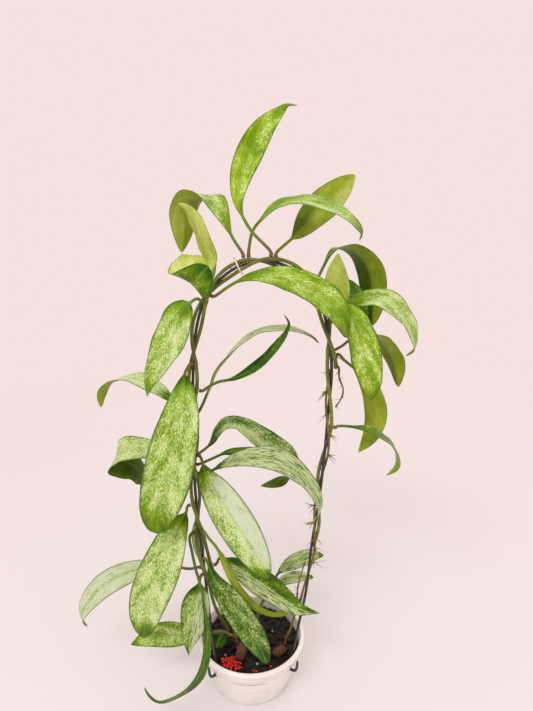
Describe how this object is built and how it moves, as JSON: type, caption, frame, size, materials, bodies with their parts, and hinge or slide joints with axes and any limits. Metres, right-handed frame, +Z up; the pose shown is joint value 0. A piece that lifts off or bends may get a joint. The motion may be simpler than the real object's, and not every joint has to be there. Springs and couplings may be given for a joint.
{
  "type": "potted hoya plant",
  "caption": "Potted hoya plant: long narrow speckled leaves on vines twined round a tall wire hoop that stands in a small round pot of bark substrate.",
  "frame": {"origin": "centre of the underside of the pot's base, on the surface that the pot stands on", "axes": "+Z up along the pot's axis, +X to the right across the hoop, -Y towards the front, where the label is"},
  "size_m": [0.2852, 0.1292, 0.5097],
  "materials": {
    "leaf_bright": "waxy, silver flecks",
    "leaf_deep": "waxy, sparse flecks",
    "leaf_silver": "satin silver with green spots",
    "stem_green": "smooth green to olive",
    "stem_brown": "dry brown",
    "wire": "glossy dark coating",
    "pot": "glossy white",
    "label": "matte",
    "husk": "rough, damp",
    "bark": "rough brown",
    "granule": "satin red",
    "tie": "pale satin"
  },
  "bodies": {
    "root": {"leaf_crown_upright": "leaf_bright", "leaf_crown_back": "leaf_bright", "leaf_crown_arch": "leaf_bright", "leaf_left_arch": "leaf_bright", "leaf_left_inner": "leaf_bright", "leaf_left_cup": "leaf_bright", "leaf_front_arch": "leaf_bright", "leaf_left_hanging": "leaf_bright", "leaf_right_back_arch": "leaf_bright", "leaf_right_dark": "leaf_deep", "leaf_right_hanging": "leaf_bright", "leaf_right_arch": "leaf_bright", "leaf_right_small": "leaf_bright", "leaf_branch_outer": "leaf_bright", "leaf_branch_lower": "leaf_bright", "leaf_right_curl": "leaf_deep", "leaf_centre_front": "leaf_bright", "leaf_inner_dark": "leaf_deep", "leaf_left_low_arch": "leaf_silver", "leaf_inner_arch": "leaf_silver", "leaf_left_curl": "leaf_bright", "leaf_centre_right": "leaf_silver", "leaf_twisted": "leaf_silver", "leaf_behind_silver": "leaf_deep", "leaf_silver_arch": "leaf_silver", "leaf_lower_front": "leaf_bright", "leaf_long_hanging": "leaf_deep", "leaf_long_yellow": "leaf_bright", "leaf_far_left": "leaf_silver", "leaf_bundle_back": "leaf_deep", "leaf_lower_silver": "leaf_silver", "leaf_pot_front": "leaf_deep", "leaf_lower_right": "leaf_deep", "leaf_low_yellow": "leaf_bright", "leaf_in_pot": "leaf_deep", "leaf_back_silver": "leaf_silver", "leaf_back_narrow": "leaf_silver", "vine_main": "stem_green", "vine_second": "stem_green", "vine_rooted": "stem_brown", "shoot_back": "stem_green", "twig_right": "stem_brown", "twig_low": "stem_brown", "wire_hoop": "wire", "pot": "pot", "substrate": "husk", "bark_chunk": "bark", "bark_chip": "bark", "granules": "granule", "label": "label", "tie": "tie"}
  },
  "joints": []
}
